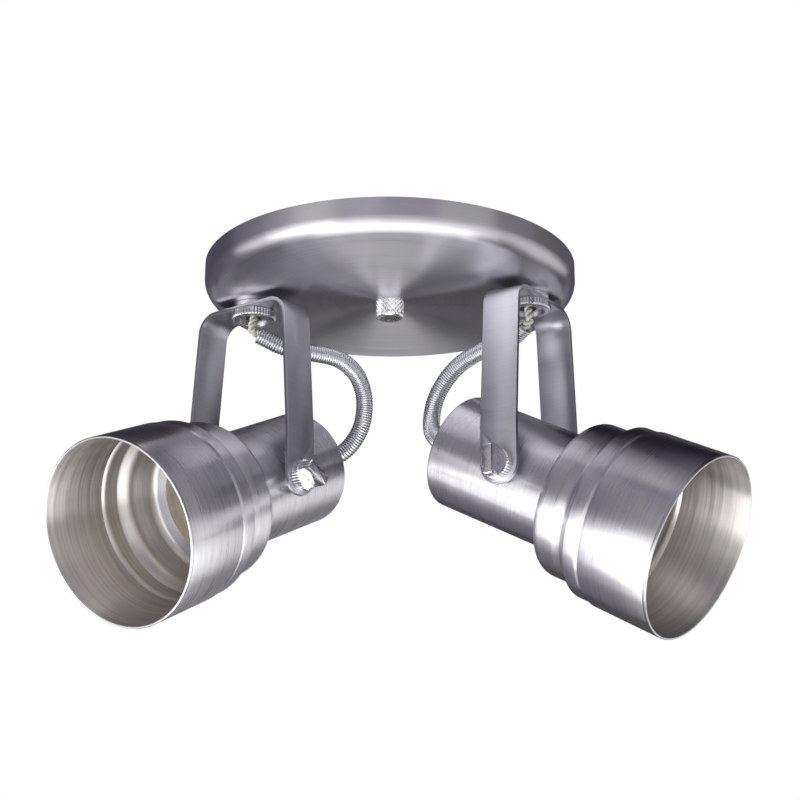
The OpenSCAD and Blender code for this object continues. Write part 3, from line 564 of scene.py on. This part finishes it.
def yoke_rows():
    """Places down one arm, over the web and up the other, each with half the strip's width."""
    low = pivot_z / mm
    rows = [(pivot_half, low - strip_w / 2 * math.cos(math.radians(a)),
             strip_w / 2 * math.sin(math.radians(a))) for a in range(10, 91, 10)]
    rows += [(pivot_half, low + strip_w, strip_w / 2)]
    centre = (top_half - bend_r, web_z / mm - bend_r)
    rows += [(*p, strip_w / 2) for p in arc(centre, bend_r, 0, 90, n=12)]
    return rows + [(-y, z, w) for y, z, w in reversed(rows)]


def bent_strip(name):
    rows = yoke_rows()
    y, z, w = rows[0]
    piece = lone_point(name, (-w * mm, y * mm, z * mm))
    bpy.ops.mesh.extrude_vertices_move(TRANSFORM_OT_translate={"value": (2 * w * mm, 0, 0)})
    bpy.ops.mesh.select_all(action="SELECT")
    for (y0, z0, w0), (y1, z1, w1) in zip(rows, rows[1:]):
        bpy.ops.mesh.extrude_region_move(
            TRANSFORM_OT_translate={"value": (0, (y1 - y0) * mm, (z1 - z0) * mm)})
        if abs(w1 - w0) > 1e-6:
            bpy.ops.transform.resize(value=(w1 / w0, 1, 1), center_override=(0, y1 * mm, z1 * mm))
    bpy.ops.mesh.select_all(action="SELECT")
    bpy.ops.mesh.normals_make_consistent(inside=False)
    bpy.ops.object.mode_set(mode="OBJECT")
    web = max(piece.data.polygons, key=lambda f: f.center.z)
    if web.normal.z < 0:
        piece.data.flip_normals()
    finish_modifier(piece, "SOLIDIFY", thickness=strip_t * mm, offset=-1)
    return piece


strip_line = cleaned([(y, z) for y, z, w in yoke_rows()])
strip_scale = 8 * mm  # so much of the strip's width counts as one radian of a turned piece
yokes = {}
for side in SIDES:
    yoke = bent_strip(f"{side}_bent_yoke")
    cut_hole(yoke, Matrix.Translation((0, 0, web_z)), nipple_hole_r * mm, depth=8 * mm)
    cut_hole(yoke, Matrix.Translation((0, 0, pivot_z)) @ turn(90, "X"), screw_hole_r * mm,
             depth=70 * mm, sides=32)
    finish_modifier(yoke, "BEVEL", width=0.25 * mm, segments=2, limit_method="ANGLE",
                    angle_limit=math.radians(50))
    co = points_of(yoke)
    mark_brushing(yoke, strip_line, co[:, 1:], co[:, 0] / strip_scale)
    yokes[side] = put(yoke, yoke_place(side), angle=30)

# %% [markdown]
# A thumb screw is turned from bar: a knurled collar with a flat key left standing on it, so that
# it can be tightened by hand. The key is the knurled bar itself, cut flat on both sides by Bisect
# and bevelled. The collar starts just off the yoke's arm, so the two never cut into each other.

# %% Thumb screws
key_turn = {("left", "inner"): 27, ("left", "outer"): 70, ("right", "inner"): 90,
            ("right", "outer"): 15}
collar_r, collar_h, collar_gap, collar_teeth = 6.1, 3.5, 0.05, 34
key_h, key_half, shank_r, shank_l, overlap = 9.2, 2, 2.45, 6.4, 0.1
collar_line = bar_outline(0, collar_r, collar_gap, collar_h, low_edge=0.4, high_edge=0.4)
key_line = bar_outline(0, collar_r, collar_h - overlap, key_h, low_edge=0, high_edge=0.5)
shank_line = bar_outline(0, shank_r, -shank_l, overlap, low_edge=0.35, high_edge=0)


def thumb_screw(name):
    collar = spun(name, collar_line, steps=2 * collar_teeth)
    mark_turned(collar, collar_line)
    knurl(collar, collar_r * mm, collar_teeth, knurl_depth)
    key = spun(name + "_key", key_line, steps=2 * collar_teeth)
    knurl(key, collar_r * mm, collar_teeth, knurl_depth)
    bpy.ops.object.mode_set(mode="EDIT")
    for way in (-1, 1):
        bpy.ops.mesh.select_all(action="SELECT")
        bpy.ops.mesh.bisect(plane_co=(0, way * key_half * mm, 0), plane_no=(0, way, 0),
                            use_fill=True, clear_outer=True)
    bpy.ops.object.mode_set(mode="OBJECT")
    finish_modifier(key, "BEVEL", width=0.3 * mm, segments=2, limit_method="ANGLE",
                    angle_limit=math.radians(50))
    mark_turned(key, key_line)
    shank = spun(name + "_shank", shank_line, steps=40)
    mark_turned(shank, shank_line)
    pick(key, shank, collar)
    bpy.ops.object.join()
    return collar


screws = {}
for side in SIDES:
    inner_way = 1 if side == "left" else -1
    for end, way in (("inner", inner_way), ("outer", -inner_way)):
        place = (yoke_place(side) @ Matrix.Translation((0, 0, pivot_z)) @ turn(-90 * way, "X")
                 @ Matrix.Translation((0, 0, pivot_half * mm))
                 @ turn(-way * key_turn[side, end], "Z"))
        screws[side, end] = put(thumb_screw(f"{side}_{end}_keyed_screw"), place, angle=28)

# %% [markdown]
# Inside the neck a glazed lampholder carries the threaded shell. Both show from the front, so
# they are turned afresh: the body with soft edges, the shell with a rolled thread drawn as waves.

# %% Lampholders and screw shells
wire_hole_r, holder_r, holder_low, bore_r, bore_low = 5, 16.8, -27, 14.2, -15
lip_r, lip_s, lip_round = 17.2, 8.2, 0.8
holder_line = ([(wire_hole_r, holder_low), (holder_r - 0.5, holder_low), (holder_r, holder_low + 0.5),
                (holder_r, -9.4), (holder_r + 0.6, -9)]
               + arc((lip_r, -lip_s), lip_round, -45, 0, n=4)
               + arc((lip_r, lip_s), lip_round, 0, 90, n=6)
               + arc((lip_r - 2, lip_s), lip_round, 90, 180, n=6)
               + [(bore_r + 0.2, 4), (bore_r, 4), (bore_r, bore_low), (wire_hole_r, bore_low),
                  (wire_hole_r, holder_low)])
thread_r, thread_depth, thread_pitch, thread_turns, turn_points = 13.5, 1.1, 3.6, 5, 12
shell_wall, shell_hole_r, shell_lift = 0.4, 8, 0.05
shell_low = bore_low + shell_wall
wave = [(thread_r - thread_depth * (1 - math.cos(2 * math.pi * i / turn_points)) / 2,
         shell_low + thread_pitch * i / turn_points) for i in range(turn_points * thread_turns + 1)]
shell_line = ([(shell_hole_r, bore_low), (thread_r + shell_wall, bore_low)]
              + [(r + shell_wall, z + shell_lift) for r, z in wave] + wave[::-1]
              + [(shell_hole_r, shell_low), (shell_hole_r, bore_low)])
holders, shells = {}, {}
for side in SIDES:
    holder = spun(f"{side}_glazed_holder", holder_line, steps=96)
    mark_turned(holder, holder_line)
    holders[side] = put(holder, turned_place(side), angle=40)
    shell = spun(f"{side}_threaded_shell", shell_line, steps=96)
    mark_turned(shell, shell_line)
    shells[side] = put(shell, turned_place(side), angle=50)

# %% [markdown]
# A finish is a small tree of nodes. One pattern of noise moves the colour, the roughness and the
# height a little together, because on real metal or paint these change in the same places.

# %% Nodes that every finish shares
def new_finish(name, colour, roughness, metallic):
    finish = bpy.data.materials.new(name)
    finish.use_nodes = True
    nodes = finish.node_tree.nodes
    shader = nodes["Principled BSDF"]
    shader.inputs["Base Color"].default_value = (*colour, 1)
    shader.inputs["Metallic"].default_value = metallic
    shader.inputs["Roughness"].default_value = roughness
    print("finish:", name)
    return finish, nodes, finish.node_tree.links, shader


def ranged(nodes, links, source, low, high, dark=0.3, light=0.7):
    """Stretches the source's values from dark to light over the range from low to high."""
    span = nodes.new("ShaderNodeMapRange")
    span.inputs["From Min"].default_value = dark
    span.inputs["From Max"].default_value = light
    span.inputs["To Min"].default_value = low
    span.inputs["To Max"].default_value = high
    links.new(source, span.inputs["Value"])
    return span.outputs["Result"]


def tinted(nodes, links, share, one, two):
    mix = nodes.new("ShaderNodeMix")
    mix.data_type = "RGBA"
    mix.inputs["A"].default_value = (*one, 1)
    mix.inputs["B"].default_value = (*two, 1)
    links.new(share, mix.inputs["Factor"])
    return mix.outputs["Result"]


def vary(nodes, links, shader, pattern, share, colour, rough, contrast, strength, groove):
    """One pattern moves the roughness and the height, and its share of light the colour."""
    deep = [c * (1 - contrast) for c in colour]
    pale = [min(c * (1 + contrast), 1) for c in colour]
    links.new(tinted(nodes, links, share, deep, pale), shader.inputs["Base Color"])
    links.new(ranged(nodes, links, pattern, *rough), shader.inputs["Roughness"])
    bump = nodes.new("ShaderNodeBump")
    bump.inputs["Strength"].default_value = strength
    bump.inputs["Distance"].default_value = groove * mm
    links.new(pattern, bump.inputs["Height"])
    links.new(bump.outputs["Normal"], shader.inputs["Normal"])

# %% [markdown]
# Turned steel isn't evenly grey: fine scratches run round it, some deeper, and light spreads
# across them. The finish stretches noise round the piece by its stored place, in fine lines, wider
# lines and soft streaks, and turns the anisotropic highlight across the scratches.

# %% Brushed steel finish
def stretched_noise(nodes, links, stretch, detail):
    place = nodes.new("ShaderNodeAttribute")
    place.attribute_name = "brushing"
    scale = nodes.new("ShaderNodeVectorMath")
    scale.operation = "MULTIPLY"
    scale.inputs[1].default_value = stretch
    noise = nodes.new("ShaderNodeTexNoise")
    noise.inputs["Scale"].default_value = 1
    noise.inputs["Detail"].default_value = detail
    links.new(place.outputs["Vector"], scale.inputs[0])
    links.new(scale.outputs[0], noise.inputs["Vector"])
    return noise.outputs["Fac"]


def brushed_steel(name, colour, rough, spread, lines=1600, round_scale=1.5, contrast=0.12,
                  groove=0.005):
    finish, nodes, links, shader = new_finish(name, colour, sum(rough) / 2, 1)
    streaks = (0.15, (9, 7, 7), 2)
    wide_lines = (0.25, (lines / 9, round_scale / 2, round_scale / 2), 2)
    fine_lines = (0.6, (lines, round_scale, round_scale), 1)
    grain = None
    for share, stretch, detail in (streaks, wide_lines, fine_lines):
        layer = nodes.new("ShaderNodeMath")
        layer.operation = "MULTIPLY_ADD"
        layer.inputs[1].default_value = share
        layer.inputs[2].default_value = 0
        links.new(stretched_noise(nodes, links, stretch, detail), layer.inputs[0])
        if grain:
            links.new(grain, layer.inputs[2])
        grain = layer.outputs[0]
    light_share = ranged(nodes, links, grain, 0, 1, dark=0.36, light=0.64)
    vary(nodes, links, shader, grain, light_share, colour, rough, contrast, strength=0.5,
         groove=groove)
    across = nodes.new("ShaderNodeTangent")
    across.direction_type = "UV_MAP"
    across.uv_map = "UVMap"
    links.new(across.outputs["Tangent"], shader.inputs["Tangent"])
    shader.inputs["Anisotropic"].default_value = spread
    return finish

# %% [markdown]
# Each kind of piece was brushed or plated by itself, so each has its own grey, its own roughness and
# its own grooves. The wide turned sheets have shallow grooves. The shades' insides are rougher and
# coloured darker and warmer than their outsides, and the necks' insides are rougher and coloured
# pale, as painted light.

# %% Steel finishes
smooth = 0.002
canopy_steel = brushed_steel("canopy_brushed_steel", (0.62, 0.61, 0.645), (0.28, 0.33), 1,
                             contrast=0.06, groove=smooth)
shade_steel = brushed_steel("shade_brushed_steel", (0.67, 0.66, 0.69), (0.26, 0.32), 1,
                            contrast=0.08, groove=smooth)
neck_steel = brushed_steel("neck_brushed_steel", (0.66, 0.65, 0.68), (0.26, 0.32), 1,
                           contrast=0.08, groove=smooth)
inside_steel = brushed_steel("inside_turned_steel", (0.58, 0.555, 0.54), (0.32, 0.42), 0.85,
                             lines=900, round_scale=0.8, contrast=0.14, groove=smooth)
# The neck's inside is coloured pale beige, far paler than its outside: this paleness is painted
# light.
neck_inside_painted_light = brushed_steel("neck_inside_painted_light", (0.90, 0.87, 0.81), (0.45, 0.6), 0.3,
                                  lines=600, round_scale=2.5, contrast=0.1)
yoke_steel = brushed_steel("yoke_brushed_steel", (0.55, 0.55, 0.59), (0.30, 0.38), 0.7,
                           lines=1500, round_scale=0.8, contrast=0.04)
collar_steel = brushed_steel("collar_turned_steel", (0.66, 0.65, 0.68), (0.24, 0.34), 0.5)
bright_nickel = brushed_steel("bright_nickel_plate", (0.84, 0.84, 0.86), (0.16, 0.28), 0.2)
nipple_plate = brushed_steel("nipple_nickel_plate", (0.62, 0.61, 0.60), (0.25, 0.38), 0.3)
ring_plate = brushed_steel("ring_nut_nickel_plate", (0.62, 0.62, 0.65), (0.20, 0.32), 0.3)

# %% [markdown]
# The other finishes have no turning to follow, so they read Object coordinates: zinc plate with
# faint clouds, woven sleeve with a fine fleck, glazed porcelain, moulded plastic and rubber.

# %% Plain finishes
def clouded(name, colour, rough, metallic, scale, contrast=0.08, groove=0.01):
    finish, nodes, links, shader = new_finish(name, colour, sum(rough) / 2, metallic)
    place = nodes.new("ShaderNodeTexCoord")
    noise = nodes.new("ShaderNodeTexNoise")
    noise.inputs["Scale"].default_value = scale
    noise.inputs["Detail"].default_value = 4
    links.new(place.outputs["Object"], noise.inputs["Vector"])
    clouds = noise.outputs["Fac"]
    light_share = ranged(nodes, links, clouds, 0, 1)
    vary(nodes, links, shader, clouds, light_share, colour, rough, contrast, strength=0.6,
         groove=groove)
    return finish


hose_zinc = clouded("hose_bright_zinc", (0.72, 0.73, 0.76), (0.22, 0.32), 1, 300, 0.05, smooth)
plated_steel = clouded("zinc_plated_steel", (0.70, 0.70, 0.71), (0.25, 0.40), 1, 500, 0.1)
shell_brass = clouded("nickelled_shell_brass", (0.80, 0.76, 0.66), (0.25, 0.4), 1, 400, 0.08)
brass = clouded("stamped_brass", (0.76, 0.60, 0.30), (0.22, 0.36), 1, 400, 0.1)
sleeve = clouded("woven_lead_sleeve", (0.90, 0.87, 0.78), (0.75, 0.92), 0, 1800, 0.08, 0.05)
block_plastic = clouded("block_moulded_plastic", (0.86, 0.85, 0.80), (0.42, 0.55), 0, 900, 0.04)
bush_rubber = clouded("bush_black_rubber", (0.035, 0.035, 0.038), (0.6, 0.8), 0, 1500, 0.3, 0.03)
porcelain = clouded("glazed_porcelain", (0.86, 0.85, 0.81), (0.12, 0.22), 0, 300, 0.03)
contact_brass = clouded("sprung_contact_brass", (0.80, 0.66, 0.36), (0.2, 0.3), 1, 500, 0.1)

# %% [markdown]
# Each new piece takes its finish, rides on the body that carries the real one and stands for its CAD
# node, which is hidden. Hose and lead ride on no body, and their places are applied to their meshes.

# %% Dress, ride and replace
def dress(piece, finish, slot, body, *nodes, inside=None):
    """Gives a piece its finish, CAD nodes and body, and its inner faces the inside finish. The slot
    is not used.
    """
    inner_faces = [face.index for face in piece.data.polygons if face.material_index]
    piece.data.materials.clear()
    piece.data.materials.append(finish)
    if inside:
        piece.data.materials.append(inside)
        for index in inner_faces:
            piece.data.polygons[index].material_index = 1
    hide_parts(*nodes)
    if body:
        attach(piece, body)


dress(canopy, canopy_steel, "canopy_steel", "canopy_body", "canopy")
dress(cap_nut, bright_nickel, "bright_nickel", "centre_nut", "centre_cap_nut")
for side in SIDES:
    arm, lamp = f"{side}_arm", f"{side}_lamp"
    dress(small[side, "spacer"], collar_steel, "collar_steel", "canopy_body", f"{side}_spacer")
    dress(small[side, "ring_nut"], ring_plate, "bright_nickel", "canopy_body", f"{side}_ring_nut")
    dress(small[side, "nipple"], nipple_plate, "brass", "canopy_body", f"{side}_nipple")
    dress(yokes[side], yoke_steel, "yoke_steel", arm, f"{side}_yoke")
    # A neck's inside takes the pale finish that is painted light.
    dress(necks[side], neck_steel, "neck_steel", lamp, f"{side}_neck", inside=neck_inside_painted_light)
    dress(shades[side], shade_steel, "shade_steel", lamp, f"{side}_shade", inside=inside_steel)
    dress(holders[side], porcelain, "porcelain", lamp, f"{side}_lampholder")
    dress(shells[side], shell_brass, "brass", lamp, f"{side}_screw_shell")
    for end in ("inner", "outer"):
        dress(screws[side, end], bright_nickel, "bright_nickel", f"{side}_{end}_screw",
              f"{side}_{end}_thumb_screw")
    dress(hoses[side], hose_zinc, "conduit_zinc", None, f"{side}_conduit")
    dress(leads[side], sleeve, "lead_sleeve", None, f"{side}_conduit_lead")
    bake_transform(hoses[side])
    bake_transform(leads[side])

# %% [markdown]
# The pieces inside keep the part's own meshes, and each gets the finish of its kind.

# %% Finishes of the CAD nodes that stay in view
kept_finishes = {
    "mounting_bar": plated_steel, "centre_stud": plated_steel, "stud_nut": plated_steel,
    "terminal_block": block_plastic, "terminal_inserts": brass, "terminal_screws": plated_steel,
    "block_screw": plated_steel, "earth_screw": plated_steel, "canopy_lead": sleeve,
    "lock_nut": brass, "tooth_washer": plated_steel, "rear_bush": bush_rubber,
    "holder_bracket": plated_steel, "pivot_bushes": plated_steel, "centre_contact": contact_brass,
    "holder_screws": plated_steel, "head_lead": sleeve}
kept = 0
for name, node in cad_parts.items():
    kind = name.split("_", 1)[1] if name.split("_")[0] in SIDES else name
    if kind in kept_finishes and not node.hide_render:
        node.data.materials.clear()
        node.data.materials.append(kept_finishes[kind])
        kept += 1
print("CAD nodes kept in view:", kept)

# %% [markdown]
# The light is photographed against white, hung high above a pale floor. The world is white where
# the camera or a reflection sees it, and a soft grey where it lights matt things. The camera sees
# the floor lifted to the same white, and any shadow on it stays.

# %% Floor and world
floor_z, floor_lift, soft_grey = -1.2, 0.56, 0.5
pick()
bpy.ops.mesh.primitive_plane_add(size=8, location=(0, 0, floor_z))
floor = bpy.context.object
floor.name = "pale_floor"
pale_paint = clouded("pale_floor_paint", (0.85, 0.85, 0.86), (0.8, 0.9), 0, 3, 0.01)
paint = pale_paint.node_tree
eye = paint.nodes.new("ShaderNodeLightPath")
lift = ranged(paint.nodes, paint.links, eye.outputs["Is Camera Ray"], 0, floor_lift, 0, 1)
paint.nodes["Principled BSDF"].inputs["Emission Color"].default_value = (1, 1, 1, 1)
paint.links.new(lift, paint.nodes["Principled BSDF"].inputs["Emission Strength"])
floor.data.materials.append(pale_paint)

world = bpy.data.worlds.new("white_room")
world.use_nodes = True
bpy.context.scene.world = world
sky = world.node_tree
paths = sky.nodes.new("ShaderNodeLightPath")
shown = paths.outputs["Is Camera Ray"]
for ray in ("Is Glossy Ray", "Is Transmission Ray"):
    either = sky.nodes.new("ShaderNodeMath")
    either.operation = "MAXIMUM"
    sky.links.new(shown, either.inputs[0])
    sky.links.new(paths.outputs[ray], either.inputs[1])
    shown = either.outputs[0]
strength = ranged(sky.nodes, sky.links, shown, soft_grey, 1, 0, 1)
sky.links.new(strength, sky.nodes["Background"].inputs["Strength"])
sky.nodes["Background"].inputs["Color"].default_value = (1, 1, 1, 1)
print("floor at", floor_z, "m")

# %% [markdown]
# Steel has no colour of its own to show, only its surroundings. In a studio it hangs in a tent of
# plain cards: dark ones above and behind make the metal's dark bands, and pale ones below and
# beside it make the bright ones. The cards are seen by reflections alone. A card's place is given
# by the compass angles that it spans and by its lower and upper angle above the level.

# %% Cards round the light
tent_middle = Vector((0, 0, -80 * mm))
near = 1.1


def card_paint(name, level):
    paint = bpy.data.materials.new(name)
    paint.use_nodes = True
    tree = paint.node_tree
    tree.nodes.clear()
    glow = tree.nodes.new("ShaderNodeEmission")
    glow.inputs["Color"].default_value = (*level, 1)
    glow.inputs["Strength"].default_value = 1
    out = tree.nodes.new("ShaderNodeOutputMaterial")
    tree.links.new(glow.outputs["Emission"], out.inputs["Surface"])
    paint.cycles.emission_sampling = "NONE"
    return paint


def hung_card(name, level, way, rise, distance=3):
    """A card bent round the light, from one compass angle to another and between two heights."""
    pick()
    bpy.ops.mesh.primitive_grid_add(x_subdivisions=12, y_subdivisions=6, size=2)
    card = bpy.context.object
    card.name = card.data.name = name + "_card"
    co = points_of(card)
    round_way = np.radians(way[0] + (way[1] - way[0]) * (co[:, 0] + 1) / 2)
    up = np.radians(rise[0] + (rise[1] - rise[0]) * (co[:, 1] + 1) / 2)
    way_out = [np.cos(up) * np.cos(round_way), np.cos(up) * np.sin(round_way), np.sin(up)]
    place = distance * np.column_stack(way_out) + np.array(tent_middle)
    card.data.vertices.foreach_set("co", place.ravel())
    card.data.update()
    card.data.materials.append(card_paint(name + "_paint", level))
    card.visible_camera = card.visible_diffuse = card.visible_shadow = False


def grey(level):
    return (level, level, level)


def dusk(level):
    """The dark cards are faintly violet, as the steel's dark bands are."""
    return (level, 0.92 * level, 1.2 * level)

# %% [markdown]
# The tent is hung card by card. Its walls stand three metres out, and the low cards hang near the
# light, above the floor. Their levels were set by comparing renders with the photo, band by band.

# %% Hang the cards
hung_card("back_wall", dusk(0.1), (50, 170), (-12, 45))
hung_card("back_wall_low", dusk(0.03), (50, 170), (-20.7, -12), near)
hung_card("back_left_low", dusk(0.2), (112, 170), (-40, -20.7), near)
hung_card("back_middle_low", grey(0.12), (86, 112), (-60, -20.7), near)
hung_card("back_right_low", dusk(0.05), (50, 86), (-40, -20.7), near)
hung_card("left_wall", dusk(0.12), (170, 211), (-10, 45))
hung_card("left_gap", dusk(0.2), (211, 216), (-8, 45))
hung_card("left_panel", grey(0.38), (216, 246), (-8, 45))
hung_card("camera_side", dusk(0.27), (246, 306), (-10, 45))
hung_card("right_panel", grey(0.42), (306, 342), (-2, 45))
hung_card("right_wall", dusk(0.12), (342, 375), (0, 45))
hung_card("right_back_wall", dusk(0.02), (375, 410), (0, 45))
hung_card("back_ceiling", dusk(0.01), (10, 170), (45, 90))
hung_card("left_ceiling", dusk(0.1), (170, 240), (45, 90))
hung_card("right_ceiling", dusk(0.1), (270, 370), (45, 90))
hung_card("camera_ceiling", grey(0.9), (240, 270), (45, 90))
hung_card("right_front_low", grey(0.7), (270, 325), (-40, 0), near)
hung_card("right_low", grey(0.93), (325, 410), (-40, 0), near)
hung_card("front_low", grey(1.2), (246, 270), (-40, -10), near)
hung_card("left_back_low", grey(1.5), (170, 195), (-40, -10), near)
hung_card("back_left_floor", dusk(0.02), (112, 180), (-60, -40), near)
hung_card("back_right_floor", dusk(0.05), (30, 86), (-60, -40), near)
hung_card("under_back", grey(0.8), (30, 180), (-90, -60), near)

# %% [markdown]
# One soft box stands low on the left and one lies on the floor in front, facing up.

# %% Lamps
def soft_box(name, place, aim, width, height, power):
    lamp = bpy.data.lights.new(name, "AREA")
    lamp.shape = "RECTANGLE"
    lamp.size, lamp.size_y = width, height
    lamp.energy = power
    box = bpy.data.objects.new(name, lamp)
    bpy.context.scene.collection.objects.link(box)
    box.location = place
    box.rotation_euler = (Vector(aim) - Vector(place)).to_track_quat("-Z", "Y").to_euler()
    box.visible_camera = False
    print(name, power, "W")


def way_to(compass, rise, distance):
    level_part = math.cos(math.radians(rise))
    return tent_middle + distance * Vector((
        level_part * math.cos(math.radians(compass)), level_part * math.sin(math.radians(compass)),
        math.sin(math.radians(rise))))


soft_box("low_left_box", way_to(220, -25, near), tent_middle, width=0.9, height=0.6, power=3.8)
soft_box("floor_box", (0, -0.55, -1.1), (0, -0.55, 0), width=2.4, height=1.2, power=21.5)

# %% [markdown]
# The Standard view shows a colour about as it is written.

bpy.context.scene.view_settings.view_transform = "Standard"
